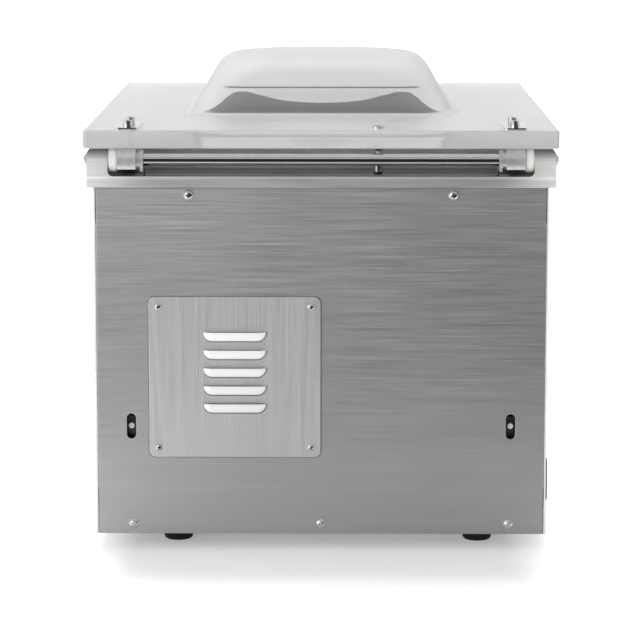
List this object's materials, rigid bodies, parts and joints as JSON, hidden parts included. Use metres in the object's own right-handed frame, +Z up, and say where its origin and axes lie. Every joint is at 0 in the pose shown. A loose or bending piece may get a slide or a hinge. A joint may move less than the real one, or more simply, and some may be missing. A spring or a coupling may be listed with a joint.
{
  "type": "vacuum sealer",
  "caption": "Tabletop chamber vacuum sealer: steel housing, clear domed lid on a rear hinge rod, heated lifting sealing bar, pump, sloping control front.",
  "frame": {"origin": "on the surface the feet stand on, under the middle of the overall box", "axes": "+Z up, -Y towards the control side, +Y towards the hinge and rear panel, +X to the right as seen from the control side"},
  "size_m": [0.3458, 0.48, 0.355],
  "materials": {
    "steel_brushed": "fine horizontal brushing",
    "steel_satin": "satin drawn steel",
    "chrome": "polished",
    "screw_steel": "bright zinc plate",
    "block_aluminium": "satin",
    "acrylic_clear": "clear cast acrylic",
    "rubber_black": "matt",
    "silicone_white": "matt silicone",
    "nylon_white": "turned nylon",
    "spring_steel": "oiled wire",
    "phenolic_brown": "pressed laminate",
    "brass": "machined",
    "tape_tan": "coated glass cloth",
    "cast_grey": "semi-gloss enamel on a casting",
    "motor_blue": "semi-gloss enamel",
    "plastic_black": "moulded",
    "board_green": "solder-masked laminate",
    "transformer_iron": "varnished laminations",
    "dial_white": "printed enamel",
    "pointer_red": "enamel",
    "window_dark": "tinted window",
    "button_grey": "moulded",
    "rocker_red": "moulded"
  },
  "bodies": {
    "root": {"base_tray": "steel_brushed", "left_side_panel": "steel_brushed", "right_side_panel": "steel_brushed", "rear_panel": "steel_brushed", "vent_plate": "steel_brushed", "deck_frame": "steel_brushed", "control_fascia": "steel_brushed", "motor_bracket": "steel_brushed", "spring_brackets": "steel_brushed", "chamber_tub": "steel_satin", "hinge_rod": "chrome", "gauge_bezel": "chrome", "vent_plate_screws": "screw_steel", "rear_panel_screws": "screw_steel", "hinge_side_screws": "screw_steel", "spring_anchor_bolts": "screw_steel", "gauge_lens": "acrylic_clear", "pump_oil_sight": "acrylic_clear", "feet": "rubber_black", "pump_mounts": "rubber_black", "chamber_gasket": "silicone_white", "vacuum_hoses": "silicone_white", "hinge_bushes": "nylon_white", "filler_plate": "nylon_white", "lid_springs": "spring_steel", "vacuum_valve": "brass", "inlet_pins": "brass", "vacuum_pump": "cast_grey", "seal_lift_cylinders": "cast_grey", "pump_motor": "motor_blue", "lid_switch": "plastic_black", "exhaust_filter": "plastic_black", "gauge_case": "plastic_black", "rocker_frame": "plastic_black", "power_inlet": "plastic_black", "control_board": "board_green", "transformer": "transformer_iron", "gauge_dial": "dial_white", "display_window": "window_dark"},
    "lid": {"lid_plate": "acrylic_clear", "hinge_blocks": "block_aluminium", "clamp_plates": "steel_satin", "lid_screws": "screw_steel", "lid_striker": "chrome", "counter_bar_holder": "block_aluminium", "counter_bar_strip": "silicone_white"},
    "sealing_bar": {"seal_bar": "block_aluminium", "seal_bar_insulator": "phenolic_brown", "heating_element": "brass", "seal_bar_cover_tape": "tape_tan", "seal_bar_pins": "block_aluminium"},
    "switch_plunger": {"lid_switch_plunger": "nylon_white"},
    "fan": {"motor_fan": "plastic_black"},
    "pointer": {"gauge_pointer": "pointer_red"},
    "button_1": {"button_one": "button_grey"},
    "button_2": {"button_two": "button_grey"},
    "button_3": {"button_three": "button_grey"},
    "button_4": {"button_four": "button_grey"},
    "rocker": {"power_rocker": "rocker_red"}
  },
  "joints": [
    {"name": "lid_hinge", "type": "hinge", "parent": "root", "child": "lid", "pos_m": [0, 0.228, 0.2887], "axis": [-1, 0, 0], "range_deg": [0, 60], "deforming": ["lid_springs"]},
    {"name": "sealing_bar_lift", "type": "slide", "parent": "root", "child": "sealing_bar", "axis": [0, 0, 1], "range_m": [0, 0.006]},
    {"name": "lid_switch_press", "type": "slide", "parent": "root", "child": "switch_plunger", "axis": [0, 0, 1], "range_m": [-0.002, 0], "stiffness_N_per_m": 300, "springref_m": 0.002},
    {"name": "motor_fan_spin", "type": "hinge", "parent": "root", "child": "fan", "pos_m": [0.063, 0.186, 0.112], "axis": [0, 1, 0], "continuous": true},
    {"name": "gauge_pointer_swing", "type": "hinge", "parent": "root", "child": "pointer", "pos_m": [-0.104, -0.20338, 0.17584], "axis": [0, 0.945, -0.327], "range_deg": [0, 270]},
    {"name": "button_1_press", "type": "slide", "parent": "root", "child": "button_1", "axis": [0, 0.945, -0.327], "range_m": [0, 0.0012], "stiffness_N_per_m": 400, "springref_m": -0.001},
    {"name": "button_2_press", "type": "slide", "parent": "root", "child": "button_2", "axis": [0, 0.945, -0.327], "range_m": [0, 0.0012], "stiffness_N_per_m": 400, "springref_m": -0.001},
    {"name": "button_3_press", "type": "slide", "parent": "root", "child": "button_3", "axis": [0, 0.945, -0.327], "range_m": [0, 0.0012], "stiffness_N_per_m": 400, "springref_m": -0.001},
    {"name": "button_4_press", "type": "slide", "parent": "root", "child": "button_4", "axis": [0, 0.945, -0.327], "range_m": [0, 0.0012], "stiffness_N_per_m": 400, "springref_m": -0.001},
    {"name": "rocker_tilt", "type": "hinge", "parent": "root", "child": "rocker", "pos_m": [0.112, -0.21471, 0.12474], "axis": [-1, 0, 0], "range_deg": [0, 20]}
  ]
}
